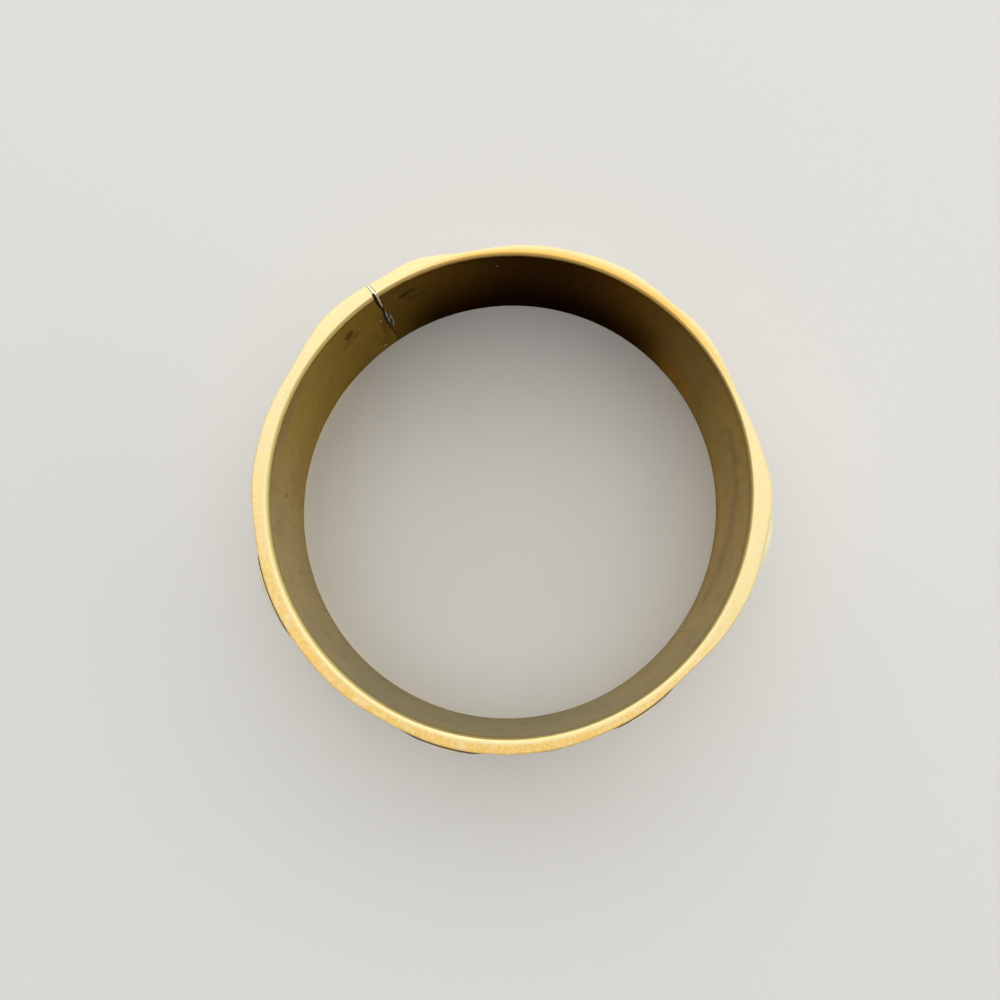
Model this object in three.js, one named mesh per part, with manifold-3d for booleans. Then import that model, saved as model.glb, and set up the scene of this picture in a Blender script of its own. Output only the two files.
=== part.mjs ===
// An inlay bangle lying on its side: a brass channel bent into a ring, its mouth facing outwards,
// with pale tiles set in it all the way round. Millimetres, +Z up. The origin is on the axis of
// the wrist opening, in the plane that the bangle lies on.
import * as THREE from "three";
import { mergeVertices } from "three/addons/utils/BufferGeometryUtils.js";
import Module from "manifold-3d";

// ---- Driving dimensions ----
const HEIGHT = 24; // how wide the bangle is along the wrist
const BORE_RADIUS = 32; // mean radius of the wrist opening
const BORE_OVAL = 0.25; // the ring is bent this much long and short of round
const BORE_OVAL_AT = 59; // degrees, where the opening is longest
const WALL = 0.5; // sheet of the bore wall
const FLANGE = 1; // thickness of the two rims
const LIP_RADIUS = 0.6; // rolled edge between a rim and the bore wall
const LIP_STEPS = 3; // flats round one rolled edge
const EDGE_BREAK = 0.15; // bevel on the outer edges of a rim
const RING_STEPS = 144; // flats round the ring

const BED_GAP = 0.25; // cement line between a tile and the brass round it
const TILE_JOINT = 0.3; // open line between two tiles
const TILE_STEPS = 8; // flats along one tile

// The rims are filed by hand, so their outline wanders. One row for each tile, anticlockwise
// seen from above: where the tile starts and how far the rim reaches out there, where the tile
// is fullest and how far the rim reaches there, and how far the tile stands proud of the rim.
const TILES = [
  { start: 22, startReach: 32.95, mid: 39, midReach: 33.68, proud: 0.2 },
  { start: 50, startReach: 33.42, mid: 63, midReach: 33.82, proud: 0.2 },
  { start: 74, startReach: 33.6, mid: 84, midReach: 33.46, proud: 0.25 },
  { start: 101, startReach: 32.93, mid: 112, midReach: 33.83, proud: 0.2 },
  { start: 121, startReach: 33.61, mid: 136, midReach: 34.1, proud: 0.2 },
  { start: 150, startReach: 33.44, mid: 162, midReach: 33.8, proud: 0.25 },
  { start: 170, startReach: 33.96, mid: 179, midReach: 34.1, proud: 0.2 },
  { start: 189, startReach: 33.92, mid: 203, midReach: 34.24, proud: 0.75 },
  { start: 219, startReach: 34.26, mid: 231, midReach: 34.24, proud: 0.15 },
  { start: 241, startReach: 33.99, mid: 256, midReach: 34.22, proud: 0.6 },
  { start: 268, startReach: 34.16, mid: 280, midReach: 34.02, proud: 0.15 },
  { start: 290, startReach: 33.74, mid: 301, midReach: 33.52, proud: 0.6 },
  { start: 314, startReach: 33.18, mid: 328, midReach: 33.84, proud: 0.15 },
  { start: 338, startReach: 34.18, mid: 350, midReach: 34.22, proud: 0.75 },
  { start: 359, startReach: 34.6, mid: 371, midReach: 33.62, proud: 0.15 },
];

// Section of a tile's face, one row for each line along it: how far in from the tile's upper or
// lower edge the line runs, and how far the face falls back there from its full height.
const TILE_FACE = [
  { inset: 0, drop: 0.45 },
  { inset: 0.15, drop: 0.15 },
  { inset: 0.55, drop: 0 },
];
const TILE_CROWN = 0.15; // extra height along the middle of a tile's face

// The ends of the strip meet at the seam. Their joint has sprung open at the upper rolled edge,
// and solder has run down beside it. Across is measured clockwise from the seam, seen from above.
const SEAM_AT = 124.4; // degrees
const SPLIT_REACH = WALL + 0.15; // how far out from the bore the split runs, into the rolled edge
const SPLIT = [
  { across: -0.25, height: HEIGHT + 1 },
  { across: 0.05, height: HEIGHT + 1 },
  { across: 0.19, height: 19.4 },
  { across: 0.28, height: 17.7 },
  { across: 0.17, height: 16.3 },
  { across: -0.11, height: 18.7 },
  { across: -0.35, height: 21.6 },
];
const SOLDER = [
  { across: 0.45, height: 15, radius: 0.36 },
  { across: 0.85, height: 13.8, radius: 0.3 },
  { across: 0.45, height: 12.6, radius: 0.4 },
  { across: 0.9, height: 11.4, radius: 0.34 },
  { across: 0.6, height: 10, radius: 0.4 },
];
const SOLDER_LENGTH = 2; // a lump's height for its width
const SOLDER_DEPTH = 0.3; // half of a lump's thickness
const SOLDER_SUNK = 0.1; // how far a lump's middle lies behind the face of the bore wall

// ---- Finishes ----
const brass = new THREE.MeshStandardMaterial({ color: 0xd8b45c, roughness: 0.32, metalness: 1 });
const shell = new THREE.MeshStandardMaterial({ color: 0xe9dfc4, roughness: 0.35, metalness: 0 });

// ---- Outline ----
const radians = THREE.MathUtils.degToRad;

function boreRadius(angle) {
  return BORE_RADIUS + BORE_OVAL * Math.cos(2 * radians(angle - BORE_OVAL_AT));
}

const OUTLINE = TILES.flatMap((tile) => [
  { at: tile.start, reach: tile.startReach },
  { at: tile.mid, reach: tile.midReach },
]);

// Row `index` of the outline, counted on round the ring for indexes off either end.
function outlineRow(index) {
  const turns = Math.floor(index / OUTLINE.length);
  const row = OUTLINE[index - turns * OUTLINE.length];
  return { at: row.at + 360 * turns, reach: row.reach };
}

// How far a rim reaches from the axis: a smooth curve through the rows of the outline.
function rimReach(angle) {
  const first = OUTLINE[0].at;
  const wrapped = first + ((((angle - first) % 360) + 360) % 360);
  const index = OUTLINE.findLastIndex((row) => row.at <= wrapped);
  const [before, from, to, after] = [-1, 0, 1, 2].map((step) => outlineRow(index + step));
  const span = to.at - from.at;
  const slopeFrom = ((to.reach - before.reach) / (to.at - before.at)) * span;
  const slopeTo = ((after.reach - from.reach) / (after.at - from.at)) * span;
  const t = (wrapped - from.at) / span;
  return (
    (2 * t ** 3 - 3 * t ** 2 + 1) * from.reach +
    (t ** 3 - 2 * t ** 2 + t) * slopeFrom +
    (3 * t ** 2 - 2 * t ** 3) * to.reach +
    (t ** 3 - t ** 2) * slopeTo
  );
}

// ---- Solids for cutting and joining ----
const wasm = await Module();
wasm.setup();

function toSolid(geometry) {
  const bare = geometry.clone();
  bare.deleteAttribute("normal");
  bare.deleteAttribute("uv");
  const merged = mergeVertices(bare, 1e-3);
  return new wasm.Manifold(
    new wasm.Mesh({
      numProp: 3,
      vertProperties: merged.attributes.position.array,
      triVerts: new Uint32Array(merged.index.array),
    }),
  );
}

function toGeometry(solid) {
  const mesh = solid.getMesh();
  const geometry = new THREE.BufferGeometry();
  geometry.setAttribute("position", new THREE.BufferAttribute(mesh.vertProperties, 3));
  geometry.setIndex(new THREE.BufferAttribute(mesh.triVerts, 1));
  geometry.computeVertexNormals();
  return geometry;
}

// ---- Channel ----
const NOMINAL_REACH = BORE_RADIUS + 2; // rim radius that the section is drawn with

// Quarter circle of a rolled edge about its centre, from one direction to the other.
function rolledEdge(centreHeight, fromDegrees, toDegrees) {
  return Array.from({ length: LIP_STEPS + 1 }, (_, step) => {
    const turn = radians(THREE.MathUtils.lerp(fromDegrees, toDegrees, step / LIP_STEPS));
    return new THREE.Vector2(
      BORE_RADIUS + LIP_RADIUS + LIP_RADIUS * Math.cos(turn),
      centreHeight + LIP_RADIUS * Math.sin(turn),
    );
  });
}

// The outer edge of one rim, lower bevel first.
function rimEdge(low, high) {
  return [
    new THREE.Vector2(NOMINAL_REACH - EDGE_BREAK, low),
    new THREE.Vector2(NOMINAL_REACH, low + EDGE_BREAK),
    new THREE.Vector2(NOMINAL_REACH, high - EDGE_BREAK),
    new THREE.Vector2(NOMINAL_REACH - EDGE_BREAK, high),
  ];
}

function channelSection() {
  const section = [
    ...rolledEdge(LIP_RADIUS, 180, 270),
    ...rimEdge(0, FLANGE),
    new THREE.Vector2(BORE_RADIUS + WALL, FLANGE),
    new THREE.Vector2(BORE_RADIUS + WALL, HEIGHT - FLANGE),
    ...rimEdge(HEIGHT - FLANGE, HEIGHT),
    ...rolledEdge(HEIGHT - LIP_RADIUS, 90, 180),
  ];
  return [...section, section[0].clone()];
}

// Moves each point of the round ring in or out: the rims to their filed outline, the rest to
// the slightly oval bore.
function bendToOutline(geometry) {
  const position = geometry.getAttribute("position");
  const rimStarts = NOMINAL_REACH - 2 * EDGE_BREAK;
  for (let i = 0; i < position.count; i++) {
    const [x, y] = [position.getX(i), position.getY(i)];
    const radius = Math.hypot(x, y);
    const angle = THREE.MathUtils.radToDeg(Math.atan2(y, x));
    const onRim = radius > rimStarts;
    const shift = onRim ? rimReach(angle) - NOMINAL_REACH : boreRadius(angle) - BORE_RADIUS;
    const scale = (radius + shift) / radius;
    position.setXY(i, x * scale, y * scale);
  }
  return geometry;
}

// Puts a geometry made at the origin (X across the seam, Y out from the axis, Z up) at the seam.
function placeAtSeam(geometry, outFromAxis) {
  return geometry.translate(0, outFromAxis, 0).rotateZ(radians(SEAM_AT - 90));
}

function splitCutter() {
  const outline = new THREE.Shape(
    SPLIT.map((corner) => new THREE.Vector2(corner.across, corner.height)),
  );
  const depth = 2 * SPLIT_REACH;
  const blade = new THREE.ExtrudeGeometry(outline, { depth, bevelEnabled: false });
  // Drawn across X and up Y, pulled along Z: turned so that up is Z and the pull is inwards.
  blade.rotateX(Math.PI / 2);
  return placeAtSeam(blade, boreRadius(SEAM_AT) + SPLIT_REACH);
}

function solderLump({ across, height, radius }) {
  const lump = new THREE.IcosahedronGeometry(radius, 1);
  lump.scale(1, SOLDER_DEPTH / radius, SOLDER_LENGTH).translate(across, 0, height);
  return placeAtSeam(lump, boreRadius(SEAM_AT) + SOLDER_SUNK);
}

function buildChannel() {
  const ring = new THREE.LatheGeometry(channelSection(), RING_STEPS).rotateX(Math.PI / 2);
  let solid = toSolid(bendToOutline(ring));
  for (const lump of SOLDER) solid = solid.add(toSolid(solderLump(lump)));
  return toGeometry(solid.subtract(toSolid(splitCutter())));
}

// ---- Tiles ----
// The tile's share of its full height at an angle: nothing at its two ends, all at its middle.
function fullness(tile, end, angle) {
  const half = angle < tile.mid ? tile.mid - tile.start : end - tile.mid;
  return Math.cos(((angle - tile.mid) / half) * (Math.PI / 2)) ** 2;
}

// A flat blank of even steps, bent into the channel and dressed to its domed face.
function buildTile(tile, end) {
  const lines = 2 * (TILE_FACE.length - 1) + 2;
  const blank = new THREE.BoxGeometry(1, 1, 1, TILE_STEPS, 1, lines);
  const position = blank.getAttribute("position");
  const halfHeight = HEIGHT / 2 - FLANGE - BED_GAP;
  for (let i = 0; i < position.count; i++) {
    const [along, outwards, up] = [position.getX(i), position.getY(i), position.getZ(i)];
    const angle = THREE.MathUtils.lerp(end, tile.start, along + 0.5);
    const jointTurn = THREE.MathUtils.radToDeg(TILE_JOINT / 2 / BORE_RADIUS);
    const inJoint = THREE.MathUtils.clamp(angle, tile.start + jointTurn, end - jointTurn);

    const line = Math.round((0.5 - Math.abs(up)) * lines);
    const { inset, drop } = TILE_FACE[line] ?? { inset: halfHeight, drop: 0 };
    const height = HEIGHT / 2 + Math.sign(up) * (halfHeight - inset);
    const crown = line >= TILE_FACE.length ? TILE_CROWN : 0;

    const back = boreRadius(inJoint) + WALL + BED_GAP;
    const full = rimReach(inJoint) + tile.proud * fullness(tile, end, inJoint) + crown;
    const face = full - Math.min(drop, (full - back) / 2);
    const radius = outwards > 0 ? face : back;
    const turn = radians(inJoint);
    position.setXYZ(i, radius * Math.cos(turn), radius * Math.sin(turn), height);
  }
  blank.computeVertexNormals();
  return blank;
}

// ---- Assembly ----
const bangle = new THREE.Group();
bangle.name = "inlay_bangle";

const channel = new THREE.Mesh(buildChannel(), brass);
channel.name = "channel";
bangle.add(channel);

TILES.forEach((tile, index) => {
  const next = TILES[(index + 1) % TILES.length];
  const end = next.start > tile.start ? next.start : next.start + 360;
  const mesh = new THREE.Mesh(buildTile(tile, end), shell);
  mesh.name = `inlay_tile_${String(index + 1).padStart(2, "0")}`;
  bangle.add(mesh);
});

export default bangle;
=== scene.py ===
import math

import bpy
import numpy as np
from mathutils import Matrix, Vector, noise


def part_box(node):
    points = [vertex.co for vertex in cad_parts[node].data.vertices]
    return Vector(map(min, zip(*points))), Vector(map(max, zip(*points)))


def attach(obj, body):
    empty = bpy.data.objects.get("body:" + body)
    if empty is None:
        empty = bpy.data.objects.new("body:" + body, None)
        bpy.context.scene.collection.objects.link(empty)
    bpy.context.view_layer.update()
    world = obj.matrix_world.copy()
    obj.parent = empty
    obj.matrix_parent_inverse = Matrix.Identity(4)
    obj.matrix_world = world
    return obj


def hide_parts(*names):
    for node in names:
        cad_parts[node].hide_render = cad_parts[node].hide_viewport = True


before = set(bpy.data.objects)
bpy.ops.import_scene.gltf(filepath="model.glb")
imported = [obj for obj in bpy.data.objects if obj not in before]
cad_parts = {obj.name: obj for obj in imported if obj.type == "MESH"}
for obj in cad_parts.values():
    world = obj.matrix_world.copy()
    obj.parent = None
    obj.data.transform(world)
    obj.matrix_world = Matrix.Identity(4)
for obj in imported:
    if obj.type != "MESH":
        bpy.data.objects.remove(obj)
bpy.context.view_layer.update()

MM = 0.001

# ---- Sizes of the brass channel, as the sheet was bent ----
LOW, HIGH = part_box("channel")
HEIGHT = HIGH.z - LOW.z
SHEET = 0.5 * MM                # bore wall
RIM_THICK = 1.0 * MM
ROLL = 0.6 * MM                 # rolled edge between rim and bore wall
EDGE = 0.08 * MM                # filed-off outer edges of the rims
SHARPEST = 0.55                 # how much tighter the roll is where it is tightest
RING_FLATS = 144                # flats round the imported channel
RING_STEPS = 720                # flats round the ring built here
ROLL_STEPS = 8
EDGE_STEPS = 3
SAME_FLAT = 0.001               # radians from a corner of the ring within which points are at it
RIM_DIPS = 0.03 * MM            # how deep filing hollows the faces of the rims
FILED_IN = 0.04 * MM            # how deep it hollows their outer edges
DENTS = 0.05 * MM               # how deep bending dents the bore wall

# Places round the ring, anticlockwise from its right, seen from above.
SEAM = math.radians(124.4)      # where the ends of the strip meet
TIGHTEST = math.radians(78)     # where the rolled edges are bent most sharply
MOST_SHADED = math.radians(82)      # where painted shade darkens the bore most
LEFT = math.radians(185)        # where a painted highlight carries the bright rolled edge furthest down the bore
RIGHT = math.radians(335)       # where painted shade covers it furthest up
COPPERY = math.radians(253)     # where the rims are reddest: copper mottling, made stronger on the near side as painted shade
BY_BORE = math.radians(68)      # where painted shade makes the rims' inner half reddest
BY_BORE_WIDE = math.radians(50)  # where that band of painted shade is widest
SHADOW_LINE_SIDE = math.radians(230)  # where the dark line on the tiles' edges, partly painted shadow of the rim, reaches furthest out
EDGE_HIGHLIGHT_SIDE = math.radians(352)    # where a painted highlight makes the tiles' edges pale yellow


# ---- Workshop helpers ----
def pick_only(thing):
    if bpy.context.object and bpy.context.object.mode != "OBJECT":
        bpy.ops.object.mode_set(mode="OBJECT")
    bpy.ops.object.select_all(action="DESELECT")
    thing.select_set(True)
    bpy.context.view_layer.objects.active = thing


def work_on(thing):
    pick_only(thing)
    bpy.ops.object.mode_set(mode="EDIT")
    bpy.ops.mesh.select_all(action="SELECT")


def put_down():
    bpy.ops.object.mode_set(mode="OBJECT")


def close_up(thing, weld=1e-6):
    """Merges doubled points and turns the faces outwards."""
    work_on(thing)
    bpy.ops.mesh.remove_doubles(threshold=weld)
    bpy.ops.mesh.select_all(action="SELECT")
    bpy.ops.mesh.normals_make_consistent(inside=False)
    put_down()


def apply_modifier(thing, name, kind, **settings):
    pick_only(thing)
    modifier = thing.modifiers.new(name, kind)
    for key, value in settings.items():
        setattr(modifier, key, value)
    bpy.ops.object.modifier_apply(modifier=modifier.name)


def settle(thing):
    """Puts the piece's place into its mesh."""
    pick_only(thing)
    bpy.ops.object.transform_apply(location=True, rotation=True, scale=True)


def points_of(thing):
    co = np.empty(len(thing.data.vertices) * 3)
    thing.data.vertices.foreach_get("co", co)
    return co.reshape(-1, 3)


def move_points(thing, co):
    thing.data.vertices.foreach_set("co", np.asarray(co, dtype=np.float32).ravel())
    thing.data.update()


def dress(thing, material):
    thing.data.materials.clear()
    thing.data.materials.append(material)


def wander(points, size, seed):
    """Soft unevenness between -1 and 1 at points, with lumps about size across."""
    shift = Vector((seed, 2 * seed, 3 * seed))
    return np.array([noise.noise(Vector(p) / size + shift) for p in points])


def smooth(thing, degrees):
    pick_only(thing)
    bpy.ops.object.shade_smooth_by_angle(angle=math.radians(degrees))


# ---- The filed outline and the bore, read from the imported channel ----
def ring_place_of(co):
    """Angle round the ring and distance from its axis, of each point."""
    return np.arctan2(co[:, 1], co[:, 0]), np.hypot(co[:, 0], co[:, 1])


def channel_rings():
    """Angles round the ring, with the bore's radius and the rim's reach at each."""
    co = points_of(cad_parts["channel"]).astype(float)
    turn, radius = ring_place_of(co[co[:, 2] > HIGH.z - RIM_THICK * 1.01])
    angles, bores, reaches = [], [], []
    for k in range(-RING_FLATS // 2, RING_FLATS // 2):
        angle = 2 * math.pi * k / RING_FLATS
        near = np.abs((turn - angle + math.pi) % (2 * math.pi) - math.pi) < SAME_FLAT
        angles.append(angle)
        bores.append(radius[near].min())
        reaches.append(radius[near].max())
    return np.array(angles), np.array(bores), np.array(reaches)


ANGLES, BORES, REACHES = channel_rings()
OVAL = float(BORES.max() - BORES.min()) / 2
LONG_AXIS = float(ANGLES[BORES.argmax()])
BORE = float(BORES.mean())
DRAWN_REACH = BORE + 2 * MM     # how far the rims reach before they are filed


def round_the_ring(values, turn):
    """Smooth periodic curve through values given at ANGLES."""
    count = len(ANGLES)
    at = (turn - ANGLES[0]) / (2 * math.pi) * count
    k = np.floor(at).astype(int)
    t = at - k
    a, b, c, d = (values[(k + step) % count] for step in (-1, 0, 1, 2))
    return b + 0.5 * t * (c - a + t * (2 * a - 5 * b + 4 * c - d + t * (3 * (b - c) + d - a)))


def bore_at(turn):
    return round_the_ring(BORES, turn)


def reach_at(turn):
    return round_the_ring(REACHES, turn)


SEAM_BORE = float(bore_at(np.array([SEAM]))[0])
ACROSS_SEAM = SEAM - math.pi / 2    # turns a piece made at +Y to the seam


# ---- Brass channel ----
def arc(across, height, radius, start, end, steps):
    """Points of a round edge in the section: distance from the axis, and height."""
    turns = np.radians(np.linspace(start, end, steps + 1))
    return [(across + radius * math.cos(t), height + radius * math.sin(t)) for t in turns]


def run(start, end, steps):
    """Points between two corners of the section, without the corners themselves."""
    return [tuple(np.array(start) + (np.array(end) - start) * k / steps) for k in range(1, steps)]


def channel_section():
    """The channel's section, from the lower rolled edge out round the rims and down the bore."""
    rolled, outer = BORE + ROLL, DRAWN_REACH - EDGE
    back = BORE + SHEET
    lower, upper = RIM_THICK, HEIGHT - RIM_THICK
    parts = [
        arc(rolled, ROLL, ROLL, 180, 270, ROLL_STEPS),
        run((rolled, 0), (outer, 0), 5),
        arc(outer, EDGE, EDGE, -90, 0, EDGE_STEPS),
        arc(outer, lower - EDGE, EDGE, 0, 90, EDGE_STEPS),
        run((outer, lower), (back, lower), 3),
        [(back, lower)],
        run((back, lower), (back, upper), 4),
        [(back, upper)],
        run((back, upper), (outer, upper), 3),
        arc(outer, upper + EDGE, EDGE, -90, 0, EDGE_STEPS),
        arc(outer, HEIGHT - EDGE, EDGE, 0, 90, EDGE_STEPS),
        run((outer, HEIGHT), (rolled, HEIGHT), 5),
        arc(rolled, HEIGHT - ROLL, ROLL, 90, 180, ROLL_STEPS),
        run((BORE, HEIGHT - ROLL), (BORE, ROLL), 14),
    ]
    return [point for part in parts for point in part]


def pull_ring(name, section):
    """Draws a ring out of one circle, edge by edge round its section, and closes it."""
    bpy.ops.object.select_all(action="DESELECT")
    radius, height = section[0]
    bpy.ops.mesh.primitive_circle_add(vertices=RING_STEPS, radius=radius)
    ring = bpy.context.object
    ring.name = ring.data.name = name
    work_on(ring)
    bpy.ops.transform.translate(value=(0, 0, height))
    for before, after in zip(section, section[1:] + section[:1]):
        rise = (0, 0, after[1] - before[1])
        bpy.ops.mesh.extrude_edges_move(TRANSFORM_OT_translate={"value": rise})
        widen = after[0] / before[0]
        bpy.ops.transform.resize(value=(widen, widen, 1), center_override=(0, 0, 0))
    put_down()
    close_up(ring)
    return ring


def set_radius(co, radius, new_radius):
    """Moves points from radius to new_radius, straight out from the axis or in towards it."""
    scale = new_radius / radius
    co[:, 0] *= scale
    co[:, 1] *= scale


def hollows(co, depth, size, seed):
    """Soft hollows up to depth deep and about size across."""
    return depth * (0.5 + 0.5 * wander(co, size, seed))


def tighten_roll(ring):
    """Makes the rolled edges sharper on the far side of the ring, as the bender left them."""
    co = points_of(ring)
    turn, radius = ring_place_of(co)
    share = 0.5 + 0.5 * np.cos(turn - TIGHTEST)
    keep = 1 - SHARPEST * share * share * (3 - 2 * share)
    from_rim = np.minimum(co[:, 2], HEIGHT - co[:, 2])
    rolled = (radius < BORE + ROLL * 1.01) & (from_rim < ROLL * 1.01)
    keep = np.where(rolled, keep, 1)
    co[:, 2] = np.where(co[:, 2] > HEIGHT / 2, HEIGHT - from_rim * keep, from_rim * keep)
    set_radius(co, radius, BORE + (radius - BORE) * keep)
    move_points(ring, co)


def bend_to_outline(ring):
    """Takes the bore out of round and files the rims to their wandering outline."""
    co = points_of(ring)
    turn, radius = ring_place_of(co)
    inner, outer = bore_at(turn) - BORE, reach_at(turn) - DRAWN_REACH
    share = np.clip((radius - BORE - ROLL) / (DRAWN_REACH - EDGE - BORE - ROLL), 0, 1)
    set_radius(co, radius, radius + inner + (outer - inner) * share)
    move_points(ring, co)


def hand_work(ring):
    """The unevenness that filing and bending leave: never outside the drawn shape."""
    co = points_of(ring)
    turn, radius = ring_place_of(co)
    on_rim = np.clip((radius - bore_at(turn) - 0.3 * ROLL) / ROLL, 0, 1)
    dip = hollows(co, RIM_DIPS, 5 * MM, 3)
    co[:, 2] += np.where(co[:, 2] > HEIGHT / 2, -dip, dip) * on_rim
    on_edge = np.clip((radius - reach_at(turn) + 0.4 * MM) / (0.4 * MM), 0, 1)
    filed = hollows(co * [1, 1, 0.2], FILED_IN, 1.6 * MM, 7) * on_edge
    on_wall = np.clip((bore_at(turn) + 0.1 * MM - radius) / (0.1 * MM), 0, 1)
    dent = hollows(co, DENTS, 9 * MM, 11) * on_wall
    set_radius(co, radius, radius - filed + dent)
    move_points(ring, co)


# The seam. Each row is a level of a blade, from the top down: height, then how far its two
# sides lie across from the seam, clockwise being positive. Millimetres.
SPLIT = [
    (24.6, -0.24, 0.05), (23.6, -0.36, 0.07), (21.6, -0.35, 0.12), (19.8, -0.27, 0.19),
    (18.7, -0.10, 0.26), (17.7, 0.02, 0.30), (16.3, 0.04, 0.30),
]
HAIRLINE = [
    (16.8, 0.04, 0.30), (15.3, -0.02, 0.28), (14.0, -0.12, 0.19), (12.3, -0.08, 0.22),
    (10.1, 0.02, 0.26), (7.8, 0.16, 0.35), (5.7, 0.35, 0.50), (3.2, 0.54, 0.62), (1.2, 0.62, 0.68),
]
STRIP_LINE = [
    (22.9, 0.42, 0.50), (22.2, 0.46, 0.58), (19.7, 0.50, 0.62), (18.3, 0.42, 0.54),
    (17.4, 0.34, 0.40),
]
RIM_LINES = [  # two fine cuts across the rim: distance from the axis, then the sides, at each end
    [(32.2, -0.17, -0.08), (35.2, -0.31, -0.24)],
    [(32.2, 0.32, 0.41), (35.2, -0.09, -0.02)],
]
SPLIT_DEPTH = SHEET - 0.04 * MM
HAIRLINE_DEPTH = 0.3 * MM
STRIP_LINE_DEPTH = 0.2 * MM
RIM_LINE_DEPTH = 0.10 * MM
CLEAR = 1.0 * MM                # how far a blade stands out in front of the wall


def seam_cutter(rows, into_wall):
    """A thin blade that follows rows down the bore wall, and goes into_wall deep into it."""
    bpy.ops.object.select_all(action="DESELECT")
    bpy.ops.mesh.primitive_plane_add(size=1)
    blade = bpy.context.object
    work_on(blade)
    height, left, right = (value * MM for value in rows[0])
    bpy.ops.transform.resize(value=(right - left, CLEAR + into_wall, 1),
                             center_override=(0, 0, 0))
    bpy.ops.transform.translate(value=((left + right) / 2, 0, height))
    for row in rows[1:]:
        next_height, next_left, next_right = (value * MM for value in row)
        slide = ((next_left + next_right - left - right) / 2, 0, next_height - height)
        bpy.ops.mesh.extrude_region_move(TRANSFORM_OT_translate={"value": slide})
        middle = ((next_left + next_right) / 2, 0, next_height)
        narrow = (next_right - next_left) / (right - left)
        bpy.ops.transform.resize(value=(narrow, 1, 1), center_override=middle)
        height, left, right = next_height, next_left, next_right
    put_down()
    middle_radius = SEAM_BORE + (into_wall - CLEAR) / 2
    blade.location = Vector((math.cos(SEAM), math.sin(SEAM), 0)) * middle_radius
    blade.rotation_euler.z = ACROSS_SEAM
    settle(blade)
    close_up(blade)
    return blade


def rim_cutter(rows):
    """A thin blade across the upper rim, from the rolled edge outwards."""
    bpy.ops.object.select_all(action="DESELECT")
    bpy.ops.mesh.primitive_plane_add(size=1)
    blade = bpy.context.object
    for vertex in blade.data.vertices:
        row = rows[0] if vertex.co.y < 0 else rows[1]
        out, left, right = (value * MM for value in row)
        vertex.co = (left if vertex.co.x < 0 else right, out, HEIGHT - RIM_LINE_DEPTH)
    work_on(blade)
    bpy.ops.mesh.extrude_region_move(TRANSFORM_OT_translate={"value": (0, 0, 3 * RIM_LINE_DEPTH)})
    put_down()
    blade.rotation_euler.z = ACROSS_SEAM
    settle(blade)
    close_up(blade)
    return blade


def cut(thing, blade, lining):
    """Cuts thing with blade, and lines the cut."""
    dress(blade, lining)
    apply_modifier(thing, "cut", "BOOLEAN", object=blade, operation="DIFFERENCE", solver="EXACT",
                   material_mode="TRANSFER")
    bpy.data.objects.remove(blade)


def open_seam(ring, grime):
    cut(ring, seam_cutter(SPLIT, SPLIT_DEPTH), grime)
    cut(ring, seam_cutter(HAIRLINE, HAIRLINE_DEPTH), grime)
    cut(ring, seam_cutter(STRIP_LINE, STRIP_LINE_DEPTH), grime)
    for rows in RIM_LINES:
        cut(ring, rim_cutter(rows), grime)


def build_channel(brass, grime):
    ring = pull_ring("brass_channel", channel_section())
    tighten_roll(ring)
    bend_to_outline(ring)
    hand_work(ring)
    dress(ring, brass)
    open_seam(ring, grime)
    close_up(ring, weld=1e-7)
    smooth(ring, 35)
    return ring


# ---- Solder run down beside the seam ----
BEADS = [  # across from the seam, height, half width, half height, lean
    (0.43, 14.6, 0.19, 1.55, 0.03), (0.47, 12.0, 0.20, 1.45, 0.06), (0.92, 14.3, 0.19, 1.50, 0.02),
    (0.93, 12.2, 0.20, 1.25, -0.03), (0.96, 10.1, 0.18, 0.75, 0.05), (0.78, 8.9, 0.13, 0.60, 0.05),
    (0.98, 7.0, 0.11, 0.50, 0.0),
]
BEAD_DEPTH = 0.24 * MM          # half of a bead's thickness
BEAD_SUNK = 0.03 * MM           # how far a bead's middle lies behind the face of the wall
BEAD_LUMPS = 0.03 * MM


def build_solder():
    drops = []
    for across, height, half_wide, half_high, lean in BEADS:
        bpy.ops.object.select_all(action="DESELECT")
        bpy.ops.mesh.primitive_ico_sphere_add(subdivisions=4, radius=1)
        drop = bpy.context.object
        drop.scale = (half_wide * MM, BEAD_DEPTH, half_high * MM)
        drop.rotation_euler.y = lean
        drop.location = (across * MM, SEAM_BORE + BEAD_SUNK, height * MM)
        settle(drop)
        drops.append(drop)
    for drop in drops:
        drop.select_set(True)
    bpy.context.view_layer.objects.active = drops[0]
    bpy.ops.object.join()
    solder = bpy.context.object
    solder.name = solder.data.name = "seam_solder"
    solder.rotation_euler.z = ACROSS_SEAM
    settle(solder)
    apply_modifier(solder, "run together", "REMESH", mode="VOXEL", voxel_size=0.035 * MM)
    apply_modifier(solder, "even out", "SMOOTH", factor=0.5, iterations=4)
    co = points_of(solder)
    normals = np.array([v.normal for v in solder.data.vertices])
    lumpy = BEAD_LUMPS * wander(co, 0.5 * MM, 5)
    move_points(solder, co + normals * lumpy[:, None])
    smooth(solder, 60)
    return solder


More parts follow.
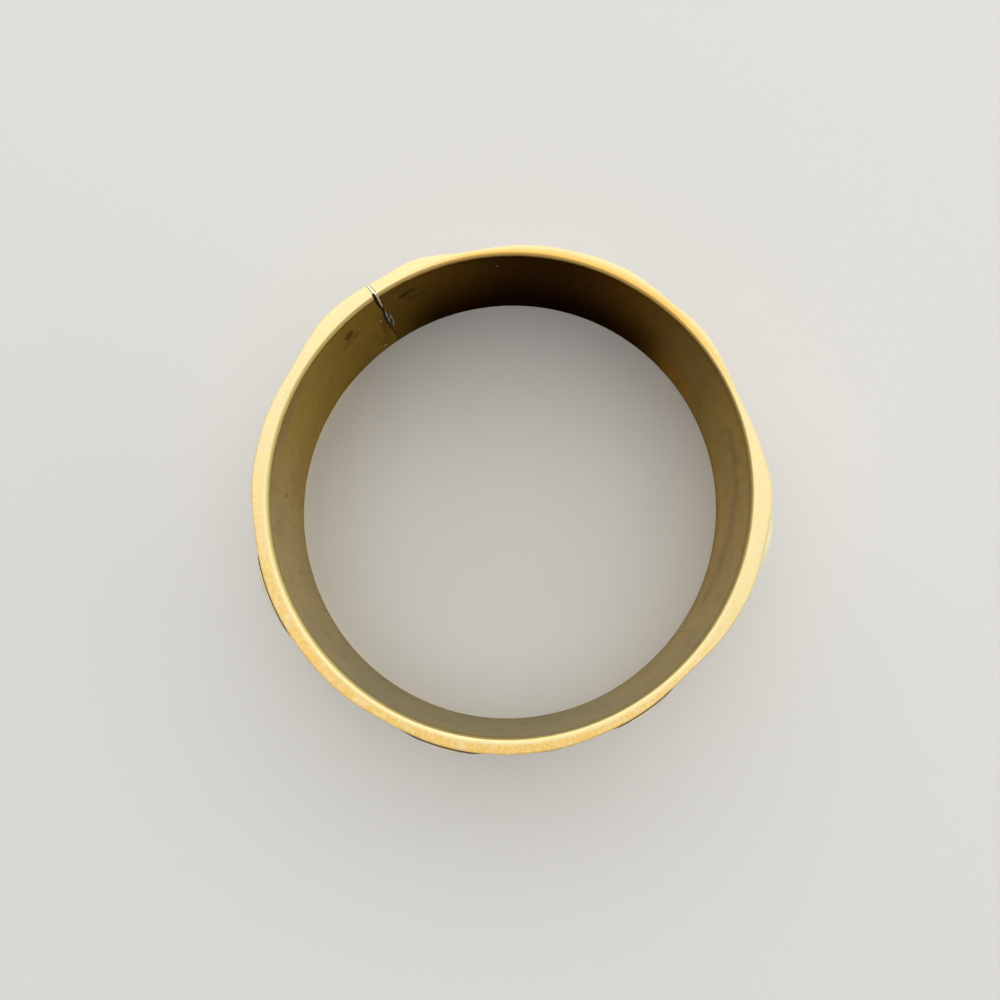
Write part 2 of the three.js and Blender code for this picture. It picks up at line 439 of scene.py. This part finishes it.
# ---- Inlay tiles ----
TILE_GAP = 0.08 * MM        # cement line above and below a tile
TILE_ROUND = 0.10 * MM      # worn-round upper and lower edges of a tile
TILE_BACK = 0.12 * MM       # how much thicker a tile is than its solid, into the cement
TILE_CROWN = 0.03 * MM      # how much fuller a tile's face is along its middle
TILE_WAVES = 0.03 * MM      # hollows that polishing leaves in a face
TILE_WORN = 0.08 * MM       # bevel along all its edges
TILE_BLANK = 20 * MM        # size of the flat blank that the hollows are laid over
ROUND_AT_MOST = 0.6         # of a tile's thickness
SAME_STATION = 0.0002       # radians within which points of a packed tile are at one station
TILE_CUTS = 15
CROWD = 1.7                 # how closely the cuts crowd towards a tile's upper and lower edges
FIRST_SEED = 20
SHELL_STEP = 3              # from tile to tile through SHELLS, so that no neighbours match


def tile_stations(node):
    """Angles along a packed tile, with the radius of its back and of its face at each."""
    co = points_of(node).astype(float)
    middle = co[:, :2].mean(0)
    lead = math.atan2(middle[1], middle[0])
    turn, radius = ring_place_of(co)
    turn = (turn - lead + math.pi) % (2 * math.pi) - math.pi
    stations = sorted(set(np.round(turn, 4)))
    backs = [radius[np.abs(turn - s) < SAME_STATION].min() for s in stations]
    faces = [radius[np.abs(turn - s) < SAME_STATION].max() for s in stations]
    return lead, np.array(stations), np.array(backs), np.array(faces)


def bend_tile(tile, node, seed):
    """Bends a flat cut blank into the channel and dresses its face."""
    lead, stations, backs, faces = tile_stations(node)
    co = points_of(tile)
    half = HEIGHT / 2 - RIM_THICK - TILE_GAP
    ends = 1 - (1 - np.abs(2 * co[:, 2])) ** CROWD
    height = HEIGHT / 2 + np.sign(co[:, 2]) * half * ends
    along = 0.5 - co[:, 0]
    turn = stations[0] + (stations[-1] - stations[0]) * along
    back = np.interp(turn, stations, backs) - TILE_BACK
    face = np.interp(turn, stations, faces)
    crown = TILE_CROWN * (np.abs(height - HEIGHT / 2) / half) ** 2
    edge = np.clip((half - np.abs(height - HEIGHT / 2)) / TILE_ROUND, 0, 1)
    rounded = TILE_ROUND * (1 - np.sqrt(1 - (1 - edge) ** 2))
    rounded = np.minimum(rounded, (face - back) * ROUND_AT_MOST)
    uneven = hollows(co * TILE_BLANK, TILE_WAVES, 6 * MM, seed)
    radius = back + (co[:, 1] + 0.5) * (face - crown - rounded - uneven - back)
    turn = turn + lead
    move_points(tile, np.stack([radius * np.cos(turn), radius * np.sin(turn), height], 1))


def build_tile(node_name, seed):
    bpy.ops.object.select_all(action="DESELECT")
    bpy.ops.mesh.primitive_cube_add(size=1)
    tile = bpy.context.object
    tile.name = tile.data.name = node_name.replace("inlay_tile", "shell_tile")
    work_on(tile)
    bpy.ops.mesh.subdivide(number_cuts=TILE_CUTS)
    put_down()
    bend_tile(tile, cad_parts[node_name], seed)
    close_up(tile)
    apply_modifier(tile, "worn edges", "BEVEL", width=TILE_WORN, segments=2,
                   limit_method="ANGLE", angle_limit=math.radians(50))
    smooth(tile, 40)
    return tile


def mark_beyond_rim(tile):
    """Notes on the tile how far each point stands out past the rims, for the dark line there:
    partly dark cement, partly painted shadow of the rim.
    """
    turn, radius = ring_place_of(points_of(tile))
    beyond = radius - reach_at(turn)
    layer = tile.data.attributes.new("beyond_rim", "FLOAT", "POINT")
    layer.data.foreach_set("value", beyond.astype(np.float32))


# ---- Finishes ----
SOFT_FROM = 2.5             # millimetres of half height from which a mark fades softly
DRIFT_FROM = 2              # and from which its outline drifts instead of fraying


class Finish:
    """A material and short ways to add and join its nodes.

    A Mix node keeps its share at input 0, its numbers at 2 and 3 and its colours at 6 and 7.
    It gives numbers at output 0 and colours at output 2.
    """

    def __init__(self, name):
        self.material = bpy.data.materials.new(name)
        self.material.use_nodes = True
        self.tree = self.material.node_tree
        self.shader = self.tree.nodes["Principled BSDF"]
        self.place = self.add("ShaderNodeTexCoord").outputs["Object"]

    def add(self, kind, **settings):
        node = self.tree.nodes.new(kind)
        for key, value in settings.items():
            setattr(node, key, value)
        return node

    def join(self, source, socket):
        if isinstance(source, (int, float, tuple)):
            socket.default_value = source
        else:
            self.tree.links.new(source, socket)

    def math(self, operation, first, second=0.0):
        node = self.add("ShaderNodeMath", operation=operation)
        self.join(first, node.inputs[0])
        self.join(second, node.inputs[1])
        return node.outputs[0]

    def mix(self, share, first, second, blend_type="MIX"):
        """Colour first turning to colour second as share goes from 0 to 1."""
        node = self.add("ShaderNodeMix", data_type="RGBA", blend_type=blend_type)
        self.join(share, node.inputs[0])
        self.join(first, node.inputs[6])
        self.join(second, node.inputs[7])
        return node.outputs[2]

    def tint(self, share, first, second):
        """first multiplied by second, by as much as share says."""
        return self.mix(share, first, second, blend_type="MULTIPLY")

    def blend(self, share, first, second):
        """Number first turning to number second as share goes from 0 to 1."""
        node = self.add("ShaderNodeMix", data_type="FLOAT")
        self.join(share, node.inputs[0])
        self.join(first, node.inputs[2])
        self.join(second, node.inputs[3])
        return node.outputs[0]

    def ramp(self, value, low, high, out_low=0.0, out_high=1.0):
        """value between low and high, eased to between out_low and out_high."""
        node = self.add("ShaderNodeMapRange", interpolation_type="SMOOTHSTEP")
        for source, socket in zip((value, low, high, out_low, out_high), node.inputs):
            self.join(source, socket)
        return node.outputs[0]

    def grade(self, value, stops):
        """Colour along a short list of (place, colour) stops."""
        node = self.add("ShaderNodeValToRGB")
        marks = node.color_ramp.elements
        while len(marks) < len(stops):
            marks.new(1.0)
        for mark, (place, colour) in zip(marks, stops):
            mark.position = place
            mark.color = (*colour, 1)
        self.join(value, node.inputs[0])
        return node.outputs[0]

    def grain(self, size, detail=2.0, stretch=(1, 1, 1), shift=0.0):
        """Noise with lumps about size across, in metres."""
        mapping = self.add("ShaderNodeMapping")
        self.join(self.place, mapping.inputs["Vector"])
        mapping.inputs["Scale"].default_value = stretch
        mapping.inputs["Location"].default_value = (shift, shift, shift)
        node = self.add("ShaderNodeTexNoise")
        self.join(mapping.outputs[0], node.inputs["Vector"])
        node.inputs["Scale"].default_value = 1 / size
        node.inputs["Detail"].default_value = detail
        return node.outputs["Fac"]

    def spread(self, size, detail, reach):
        """Noise as a length between about -reach / 2 and reach / 2, to fray an outline with."""
        return self.math("MULTIPLY", self.math("SUBTRACT", self.grain(size, detail), 0.5), reach)

    def toward(self, angle):
        """How far over to the side of the ring at angle: 0 opposite it, 1 there."""
        x, y, _ = self.split_place()
        across = self.math("MULTIPLY", x, 0.5 * math.cos(angle) / BORE)
        along = self.math("MULTIPLY", y, 0.5 * math.sin(angle) / BORE)
        return self.math("ADD", self.math("ADD", across, along), 0.5)

    def side(self, angle, low, high, out_low=0.0, out_high=1.0):
        """Eased from out_low to out_high as toward(angle) goes from low to high."""
        return self.ramp(self.toward(angle), low, high, out_low, out_high)

    def between(self, value, low, high, soft):
        """1 where value lies between low and high, fading over soft."""
        rise = self.ramp(value, low - soft, low)
        return self.math("MULTIPLY", rise, self.ramp(value, high + soft, high))

    def spot(self, turn, height, angle, place, half_long, half_high, frayed):
        """A mark on the bore wall, at angle in degrees and with its sizes in millimetres.

        turn and height are where a point of the wall lies, in radians and metres. frayed, in
        metres, roughens the mark's outline.
        """
        along = self.math("MULTIPLY", self.math("SUBTRACT", turn, math.radians(angle)),
                          BORE / (half_long * MM))
        up = self.math("DIVIDE", self.math("SUBTRACT", height, place * MM), half_high * MM)
        away = self.math("SQRT", self.math("ADD", self.math("MULTIPLY", along, along),
                                           self.math("MULTIPLY", up, up)))
        edge = self.math("DIVIDE", frayed, half_high * MM)
        solid_to = 0.15 if half_high > SOFT_FROM else 0.35
        return self.ramp(self.math("ADD", away, edge), 1.0, solid_to)

    def split_place(self):
        node = self.add("ShaderNodeSeparateXYZ")
        self.join(self.place, node.inputs[0])
        return node.outputs

    def ring_place(self):
        """Angle round the ring, distance from its axis, and height."""
        x, y, z = self.split_place()
        turn = self.math("ARCTAN2", y, x)
        radius = self.math("SQRT", self.math("ADD", self.math("MULTIPLY", x, x),
                                             self.math("MULTIPLY", y, y)))
        return turn, radius, z

    def bump(self, height, distance, strength=1.0):
        node = self.add("ShaderNodeBump")
        node.inputs["Distance"].default_value = distance
        node.inputs["Strength"].default_value = strength
        self.join(height, node.inputs["Height"])
        self.join(node.outputs[0], self.shader.inputs["Normal"])


# Colour of the bore from the near side of the ring to the far side: olive tarnish, with painted
# shade darkening it to near black on the far side.
TARNISH_AND_SHADE = [  # how far over, colour
    (0.00, (0.40, 0.363, 0.235)), (0.12, (0.49, 0.42, 0.26)), (0.30, (0.57, 0.46, 0.25)),
    (0.50, (0.56, 0.42, 0.19)), (0.63, (0.525, 0.38, 0.135)), (0.75, (0.385, 0.262, 0.076)),
    (0.88, (0.222, 0.134, 0.031)), (0.96, (0.112, 0.055, 0.009)), (1.00, (0.042, 0.018, 0.004)),
]
SMUDGES = [  # angle, height, half length round the ring, half height, colour that it lays over
    (12, 15.8, 4.5, 3.2, (0.80, 0.81, 0.87)), (3, 14.6, 5.0, 3.4, (0.78, 0.79, 0.86)),
    (-6, 12.2, 5.0, 3.4, (0.78, 0.79, 0.86)), (-15, 9.8, 5.0, 3.2, (0.80, 0.81, 0.87)),
    (-25, 8.2, 4.5, 2.8, (0.84, 0.85, 0.90)), (-2, 5.0, 7.0, 2.2, (1.10, 1.05, 0.95)),
    (134.7, 17.6, 1.4, 1.6, (0.40, 0.36, 0.42)), (136.2, 15.4, 2.0, 2.0, (0.76, 0.74, 0.80)),
    (133.2, 15.8, 1.0, 1.0, (0.70, 0.68, 0.72)), (117.7, 18.0, 1.3, 1.2, (0.42, 0.45, 0.60)),
    (115.6, 18.4, 1.6, 0.8, (0.46, 0.48, 0.60)), (114.0, 15.6, 2.2, 0.7, (0.70, 0.72, 0.75)),
    (123.1, 11.6, 0.75, 5.6, (0.46, 0.50, 0.50)), (125.3, 11.0, 0.9, 8.0, (0.66, 0.68, 0.72)),
    (126.6, 3.6, 1.7, 2.8, (0.72, 0.78, 0.75)), (179.2, 13.0, 0.5, 1.2, (0.66, 0.62, 0.55)),
    (160, 21.0, 9.0, 2.6, (0.86, 0.86, 1.15)), (-124, 9.5, 5.5, 6.0, (0.94, 1.02, 1.04)),
    (-55, 12.0, 7.0, 7.0, (1.06, 1.0, 0.98)), (-98, 15.0, 6.0, 3.0, (0.95, 0.98, 1.0)),
    # The two marks at 50 and 36 degrees are painted reflected light, warm and low on the far wall.
    (50, 4.5, 8.0, 5.0, (1.12, 1.02, 0.84)), (36, 4.0, 8.0, 5.0, (1.15, 1.02, 0.80)),
    (135, 12.0, 34.0, 30.0, (0.94, 0.90, 0.72)), (18, 12.0, 24.0, 30.0, (1.0, 1.01, 1.18)),
]
RUBBED = [  # bare specks on the bore wall: angle, height, half length, half height
    (127.4, 2.3, 0.28, 0.45), (125.7, 13.6, 0.13, 0.50), (-162.2, 10.9, 0.15, 0.15),
    (-151.5, 16.7, 0.13, 0.13), (-134.3, 14.9, 0.14, 0.14), (9.5, 17.5, 0.13, 0.13),
    (-22.7, 18.1, 0.14, 0.14), (93.0, 19.0, 0.13, 0.13), (152.0, 8.0, 0.12, 0.14),
]


class WornBrassPaintedLight(Finish):
    """Filed bright brass on the rims, turning to dull olive-brown tarnish down the bore, with
    painted shade on the far side of the bore and painted highlights and shade on the rolled edges.
    """

    def __init__(self):
        super().__init__("worn_brass_painted_light")
        self.turn, radius, self.height = self.ring_place()
        self.across = self.math("MULTIPLY", self.math("SUBTRACT", SEAM, self.turn), BORE)

        # Distance out from the bore, which is a little oval.
        twice = self.math("MULTIPLY", self.math("SUBTRACT", self.turn, LONG_AXIS), 2.0)
        oval = self.math("MULTIPLY", self.math("COSINE", twice), OVAL)
        self.out = self.math("SUBTRACT", radius, self.math("ADD", oval, BORE))
        self.in_bore = self.ramp(self.out, 0.9 * MM, 0.7 * MM)

        # Depth below the nearer rim. On the far side the dark tarnish colour, with its painted
        # shade, is carried over the lower rolled edge too.
        shade_over_lower_roll = self.side(MOST_SHADED, 0.7, 0.9, 0.5 * MM, 2.0 * MM)
        from_rim = self.math("MINIMUM", self.math("ADD", self.height, shade_over_lower_roll),
                             self.math("SUBTRACT", HEIGHT, self.height))
        self.depth = self.math("ADD", from_rim, self.spread(1.5 * MM, 3, 0.4 * MM))

        # How far over to each side of the ring.
        self.far = self.toward(MOST_SHADED)
        self.left = self.side(LEFT, 0.55, 0.95)
        self.right = self.side(RIGHT, 0.55, 0.92)
        self.away = self.ramp(self.far, 0.8, 0.95)

    def rolled_edge(self):
        """How far the rolled edge shows bright amber metal, and how far the tarnish colour covers
        it. A painted highlight brightens it on the left, and painted shade darkens it on the right
        and far side.
        """
        # Painted highlight on the left and painted shade on the right shift where the bright edge
        # ends.
        painted_light_shift = self.math("SUBTRACT", self.math("MULTIPLY", self.left, 0.45 * MM),
                              self.math("MULTIPLY", self.right, 0.4 * MM))
        over_roll = self.math("SUBTRACT", self.math("SUBTRACT", self.depth, self.out), painted_light_shift)
        amber = self.math("MULTIPLY", self.in_bore, self.ramp(over_roll, -0.3 * MM, 0.2 * MM))
        left_lip_highlight = self.math("MULTIPLY", self.left, self.ramp(self.out, 0.5 * MM, 0.15 * MM))
        amber = self.math("MAXIMUM", amber, left_lip_highlight)
        # Painted shade: on the far side the tarnish colour fades in over a longer stretch of the
        # rolled edge.
        fade = self.blend(self.away, self.ramp(over_roll, 0.45 * MM, 0.85 * MM),
                          self.ramp(over_roll, 0.15 * MM, 1.4 * MM))
        return amber, self.math("MULTIPLY", self.in_bore, fade)

    def bare_metal(self, amber):
        """Pale, mottled and speckled rims: copper mottling made stronger on the near side as
        painted shade, and painted shade as an amber band by the bore far off.
        """
        # Copper mottling, partly real and partly painted shade: strongest on the near side.
        coppery_and_shade = self.side(COPPERY, 0.45, 1.0, 0.12, 1.35)
        patches = self.math("MULTIPLY", self.ramp(self.grain(0.45 * MM, 4), 0.06, 0.80), coppery_and_shade)
        patches = self.math("MULTIPLY", patches, self.ramp(self.out, 0.5 * MM, 1.0 * MM))
        metal = self.mix(patches, (0.93, 0.82, 0.45, 1), (0.91, 0.60, 0.17, 1))
        rosy = self.ramp(self.grain(2.5 * MM, 3, shift=0.3), 0.5, 0.7)
        metal = self.mix(self.math("MULTIPLY", rosy, 0.5), metal, (0.94, 0.77, 0.50, 1))
        # Painted shade: an amber band along the bore on the far side, where the rolled edge turns
        # away from the light.
        band = self.side(BY_BORE_WIDE, 0.85, 0.97, 0.8 * MM, 1.35 * MM)
        amber_shade_by_bore = self.math("MULTIPLY", self.ramp(self.out, band, 0.25 * MM),
                            self.side(BY_BORE, 0.80, 0.96))
        metal = self.mix(amber_shade_by_bore, metal, (0.93, 0.58, 0.15, 1))
        speckle = self.ramp(self.grain(0.3 * MM, 2), 0.5, 0.72)
        metal = self.mix(self.math("MULTIPLY", speckle, 0.25), metal, (0.82, 0.54, 0.22, 1))

        # A line worn just outside the rolled edge, on the left.
        groove = self.math("MULTIPLY", self.ramp(self.out, 0.52 * MM, 0.62 * MM),
                           self.ramp(self.out, 0.78 * MM, 0.66 * MM))
        groove = self.math("MULTIPLY", groove, self.side(LEFT, 0.6, 0.9))
        metal = self.tint(self.math("MULTIPLY", groove, 0.4), metal, (0.86, 0.78, 0.60, 1))

        # Colour of the rolled edge by side: paler yellow on the left as a painted highlight,
        # deeper amber on the far side as painted shade.
        roll = self.mix(self.left, (0.85, 0.62, 0.24, 1), (0.96, 0.83, 0.36, 1))
        roll = self.mix(self.right, roll, (0.92, 0.76, 0.36, 1))
        roll = self.mix(self.away, roll, (1.0, 0.66, 0.22, 1))
        metal = self.mix(amber, metal, roll)

        # Solder shows in the rim where the ends of the strip meet.
        soldered = self.between(self.across, -0.14 * MM, 0.30 * MM, 0.05 * MM)
        return self.mix(soldered, metal, (0.98, 0.90, 0.66, 1))

    def bore_tarnish_and_shade(self):
        """Olive tarnish on the near side, turned browner and near black towards the far side by
        painted shade, darkest low down there.
        """
        # Painted shade: the tarnish colour darkens towards the far side of the ring.
        dull = self.grade(self.far, TARNISH_AND_SHADE)
        # Painted shade: the far wall darkens further towards the floor.
        low = self.math("MULTIPLY", self.ramp(self.height, 21 * MM, 1 * MM),
                        self.ramp(self.far, 0.86, 0.95))
        dull = self.tint(low, dull, (0.18, 0.15, 0.15, 1))
        under_roll = self.math("MULTIPLY", self.ramp(self.depth, 0.8 * MM, 1.2 * MM),
                               self.ramp(self.depth, 2.6 * MM, 1.5 * MM))
        dull = self.tint(self.math("MULTIPLY", under_roll, 0.8), dull, (0.80, 0.75, 0.50, 1))
        cloudy = self.ramp(self.grain(8 * MM, 4), 0.38, 0.62)
        dull = self.tint(cloudy, dull, (0.90, 0.93, 0.98, 1))
        blotchy = self.ramp(self.grain(1.4 * MM, 5, stretch=(1, 1, 0.45)), 0.5, 0.75)
        dull = self.tint(blotchy, dull, (0.86, 0.85, 0.84, 1))
        streaky = self.ramp(self.grain(0.5 * MM, 2, stretch=(1, 1, 0.12)), 0.67, 0.78)
        return self.tint(streaky, dull, (1.28, 1.28, 1.3, 1))

    def seam_step(self, dull):
        """One end of the strip took the tarnish less than the other."""
        ends = self.math("SUBTRACT", SEAM,
                         self.ramp(self.height, 12 * MM, 3 * MM, 0.0, 0.55 * MM / BORE))
        past = self.math("GREATER_THAN", self.turn, ends)
        lighter = self.math("MULTIPLY", past, self.ramp(self.turn, SEAM + 0.35, SEAM))
        darker = self.math("MULTIPLY", self.math("SUBTRACT", 1.0, past),
                           self.ramp(self.turn, SEAM - 0.4, SEAM))
        dull = self.tint(lighter, dull, (1.08, 1.07, 1.0, 1))
        return self.tint(darker, dull, (0.74, 0.75, 0.68, 1))

    def marks(self, dull):
        """The smudges on the bore wall, two of them painted warm light low on the far side, and
        the bare specks.
        """
        ragged = self.spread(0.8 * MM, 4, 2.4 * MM)
        drifting = self.spread(4 * MM, 2, 2.0 * MM)
        for angle, place, half_long, half_high, colour in SMUDGES:
            frayed = drifting if half_high > DRIFT_FROM else ragged
            share = self.spot(self.turn, self.height, angle, place, half_long, half_high, frayed)
            dull = self.tint(share, dull, (*colour, 1))
        for angle, place, half_long, half_high in RUBBED:
            share = self.spot(self.turn, self.height, angle, place, half_long, half_high, 0.0)
            dull = self.mix(share, dull, (0.66, 0.61, 0.44, 1))
        return dull

    def scraped_clean(self, tarnish):
        """Bright metal shows again where the seam was scraped beside the split."""
        scraped = self.math("MULTIPLY", self.ramp(self.height, 17.8 * MM, 19.0 * MM),
                            self.between(self.across, 0.14 * MM, 0.42 * MM, 0.03 * MM))
        left_over = self.math("SUBTRACT", 1.0, self.math("MULTIPLY", scraped, 0.75))
        return self.math("MULTIPLY", tarnish, left_over)


def brass_finish():
    f = WornBrassPaintedLight()
    amber, tarnish = f.rolled_edge()
    tarnish = f.scraped_clean(tarnish)
    dull = f.marks(f.seam_step(f.bore_tarnish_and_shade()))
    f.join(f.mix(tarnish, f.bare_metal(amber), dull), f.shader.inputs["Base Color"])

    bare = f.blend(f.math("MULTIPLY", amber, f.math("MAXIMUM", f.left, f.away)), 1.0, 0.5)
    under_tarnish = f.ramp(f.far, 0.55, 0.95, 0.5, 0.05)
    f.join(f.blend(tarnish, bare, under_tarnish), f.shader.inputs["Metallic"])
    filed = f.blend(f.grain(1.2 * MM, 4), 0.32, 0.48)
    f.join(f.blend(tarnish, filed, 0.42), f.shader.inputs["Roughness"])
    f.shader.inputs["Specular IOR Level"].default_value = 0.0
    f.shader.inputs["Specular Tint"].default_value = (0.65, 0.48, 0.24, 1)
    f.bump(f.grain(0.22 * MM, 3), 0.008 * MM)
    return f.material


def grime_finish():
    """Old polish and dirt packed into the seam."""
    f = Finish("seam_grime")
    f.join(f.mix(f.grain(0.4 * MM, 3), (0.012, 0.008, 0.004, 1), (0.045, 0.030, 0.012, 1)),
           f.shader.inputs["Base Color"])
    f.shader.inputs["Roughness"].default_value = 0.85
    return f.material


def solder_finish():
    """Grey solder with a greenish cast, glossy on the beads, its pale spots partly grey metal and
    partly painted highlights.
    """
    f = Finish("grey_solder")
    # Pale spots on the dark solder: partly its grey metal, partly painted highlights.
    pale_spots = f.ramp(f.grain(0.5 * MM, 3), 0.42, 0.6)
    f.join(f.mix(pale_spots, (0.055, 0.058, 0.030, 1), (0.52, 0.53, 0.42, 1)),
           f.shader.inputs["Base Color"])
    f.shader.inputs["Metallic"].default_value = 0.9
    f.join(f.blend(f.grain(0.3 * MM, 2), 0.18, 0.36), f.shader.inputs["Roughness"])
    f.bump(f.grain(0.2 * MM, 2), 0.012 * MM)
    return f.material


SHELLS = [  # turn of the growth lines, main colour, second colour
    (0.2, (0.86, 0.76, 0.57), (0.72, 0.59, 0.41)),
    (1.3, (0.84, 0.78, 0.64), (0.70, 0.62, 0.48)),
    (2.4, (0.87, 0.75, 0.61), (0.74, 0.58, 0.44)),
    (0.7, (0.82, 0.77, 0.60), (0.67, 0.61, 0.45)),
]


def growth_lines(f, turned):
    """Bands of growth through the shell, cut at a slant."""
    mapping = f.add("ShaderNodeMapping")
    mapping.inputs["Rotation"].default_value = (turned, turned * 0.7, turned * 1.3)
    f.join(f.place, mapping.inputs["Vector"])
    lines = f.add("ShaderNodeTexWave", wave_type="BANDS", wave_profile="SIN")
    lines.inputs["Scale"].default_value = 0.10 / MM
    lines.inputs["Distortion"].default_value = 7.0
    lines.inputs["Detail"].default_value = 3.0
    lines.inputs["Detail Scale"].default_value = 0.6
    f.join(mapping.outputs[0], lines.inputs["Vector"])
    return lines.outputs["Fac"]


def edge_grime_and_painted_light(f, colour):
    """Painted light and dark cement on the tiles' upper and lower edges.

    A painted highlight makes them pale yellow on the right of the ring. Elsewhere a dark line lies
    on them against the rim, partly dark cement and partly painted shadow of the rim, and
    reaches furthest on the left.
    """
    height = f.ring_place()[2]
    from_rim = f.math("MINIMUM", height, f.math("SUBTRACT", HEIGHT, height))
    # Painted highlight: pale yellow on the tiles' edges by the rim, on the right.
    edge_highlight = f.side(EDGE_HIGHLIGHT_SIDE, 0.88, 0.97)
    painted_edge_highlight = f.math("MULTIPLY", f.ramp(from_rim, RIM_THICK + 0.5 * MM, RIM_THICK + 0.2 * MM),
                     edge_highlight)
    colour = f.mix(painted_edge_highlight, colour, (1.0, 0.92, 0.52, 1))
    # Dark line against the rim: partly dark cement, partly painted shadow of the rim, widest on
    # the left.
    beyond = f.add("ShaderNodeAttribute", attribute_name="beyond_rim").outputs["Fac"]
    shadow_line_to = f.side(SHADOW_LINE_SIDE, 0.65, 0.9, 0.26 * MM, 0.32 * MM)
    in_line = f.ramp(f.math("SUBTRACT", beyond, shadow_line_to), 0.04 * MM, 0.0)
    on_edge = f.ramp(from_rim, RIM_THICK + 0.16 * MM, RIM_THICK + 0.12 * MM)
    grime_and_shadow = f.math("MULTIPLY", f.math("MULTIPLY", on_edge, in_line), f.blend(edge_highlight, 1.0, 0.25))
    return f.mix(grime_and_shadow, colour, (0.07, 0.04, 0.01, 1))


def shell_finish(number, turned, main, second):
    """Polished shell: cloudy growth lines and a faint change from rose to green."""
    f = Finish("polished_shell_%d" % number)
    lines = growth_lines(f, turned)
    cloud = f.grain(5 * MM, 4, shift=turned)
    share = f.math("MULTIPLY", lines, f.ramp(cloud, 0.35, 0.65, 0.15, 0.8))
    colour = f.mix(share, (*main, 1), (*second, 1))
    lustre = f.grain(3.5 * MM, 2, shift=turned + 2)
    colour = f.tint(f.ramp(lustre, 0.5, 0.72), colour, (1.0, 0.92, 0.93, 1))
    colour = f.tint(f.ramp(lustre, 0.5, 0.28), colour, (0.92, 1.0, 0.95, 1))
    f.join(edge_grime_and_painted_light(f, colour), f.shader.inputs["Base Color"])
    f.join(f.blend(lines, 0.24, 0.38), f.shader.inputs["Roughness"])
    f.shader.inputs["Metallic"].default_value = 0.2
    f.shader.inputs["Coat Weight"].default_value = 0.6
    f.shader.inputs["Coat Roughness"].default_value = 0.12
    f.bump(cloud, 0.05 * MM)
    return f.material


def board_finish():
    """Plain pale board for the floor."""
    f = Finish("pale_board")
    f.shader.inputs["Base Color"].default_value = (0.82, 0.82, 0.81, 1)
    f.shader.inputs["Roughness"].default_value = 0.9
    return f.material


# ---- Camera, light and floor ----
CAMERA_AT = Vector((0.42, -15.11, 154.67)) * MM
CAMERA_LOOKS = Vector((-0.01236, 0.10479, -0.99442)).normalized()


def place_camera():
    """Stands almost straight above the bangle, a little towards its near side."""
    right = CAMERA_LOOKS.cross(Vector((0, 1, 0))).normalized()
    up = right.cross(CAMERA_LOOKS)
    turned = Matrix((right, up, -CAMERA_LOOKS)).transposed().to_4x4()
    data = bpy.data.cameras.new("camera")
    data.sensor_width = data.lens = 36
    data.clip_start = 1 * MM
    camera = bpy.data.objects.new("camera", data)
    camera.matrix_world = Matrix.Translation(CAMERA_AT) @ turned
    bpy.context.scene.collection.objects.link(camera)
    bpy.context.scene.camera = camera


# Soft panels round the bangle, in metres: name, place, width, depth, how bright the face
# looks, colour.
LIGHTS = [
    ("window", (0.0, 0.60, 0.50), 1.7, 0.7, 0.96, (1.0, 0.99, 0.96)),
    ("ceiling", (0.0, 0.02, 0.9), 1.2, 0.8, 0.78, (1.0, 0.98, 0.94)),
    ("side lamp", (0.76, 0.08, 0.24), 0.9, 0.46, 1.05, (1.0, 0.98, 0.94)),
    ("reflector", (-0.15, -0.70, 0.42), 0.9, 0.6, 0.55, (1.0, 0.98, 0.94)),
]


def soft_light(name, place, wide, deep, glow, colour):
    """A soft panel that faces the bangle."""
    data = bpy.data.lights.new(name, "AREA")
    data.shape = "RECTANGLE"
    data.size, data.size_y = wide, deep
    data.energy = glow * math.pi * wide * deep
    data.color = colour
    light = bpy.data.objects.new(name, data)
    bpy.context.scene.collection.objects.link(light)
    light.location = place
    light.rotation_euler = (-Vector(place)).to_track_quat("-Z", "Y").to_euler()


def glow_of_room():
    """A faint glow from all round, brighter from beyond the bangle."""
    world = bpy.context.scene.world or bpy.data.worlds.new("room")
    bpy.context.scene.world = world
    world.use_nodes = True
    tree = world.node_tree
    back = tree.nodes["Background"]
    back.inputs["Color"].default_value = (1.0, 0.98, 0.95, 1)
    place = tree.nodes.new("ShaderNodeTexCoord")
    split = tree.nodes.new("ShaderNodeSeparateXYZ")
    fade = tree.nodes.new("ShaderNodeMapRange")
    tree.links.new(place.outputs["Generated"], split.inputs[0])
    tree.links.new(split.outputs["Y"], fade.inputs["Value"])
    fade.inputs["From Min"].default_value = -1.0
    fade.inputs["To Min"].default_value = 0.24
    fade.inputs["To Max"].default_value = 0.50
    tree.links.new(fade.outputs[0], back.inputs["Strength"])


def light_room():
    for row in LIGHTS:
        soft_light(*row)
    glow_of_room()
    bpy.context.scene.view_settings.view_transform = "Standard"


FLOOR_WIDE = 30
FLOOR_GAP = 0.02 * MM


def lay_floor():
    bpy.ops.object.select_all(action="DESELECT")
    bpy.ops.mesh.primitive_plane_add(size=FLOOR_WIDE)
    floor = bpy.context.object
    floor.name = "floor"
    floor.location.z = LOW.z - FLOOR_GAP
    settle(floor)
    dress(floor, board_finish())


# ---- Put together ----
place_camera()
light_room()
lay_floor()

channel = build_channel(brass_finish(), grime_finish())
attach(channel, "root")
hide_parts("channel")

solder = build_solder()
dress(solder, solder_finish())
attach(solder, "root")

shells = [shell_finish(number, *row) for number, row in enumerate(SHELLS)]
for number, name in enumerate(sorted(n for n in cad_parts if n.startswith("inlay_tile"))):
    tile = build_tile(name, FIRST_SEED + number)
    mark_beyond_rim(tile)
    dress(tile, shells[number * SHELL_STEP % len(shells)])
    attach(tile, "root")
    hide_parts(name)
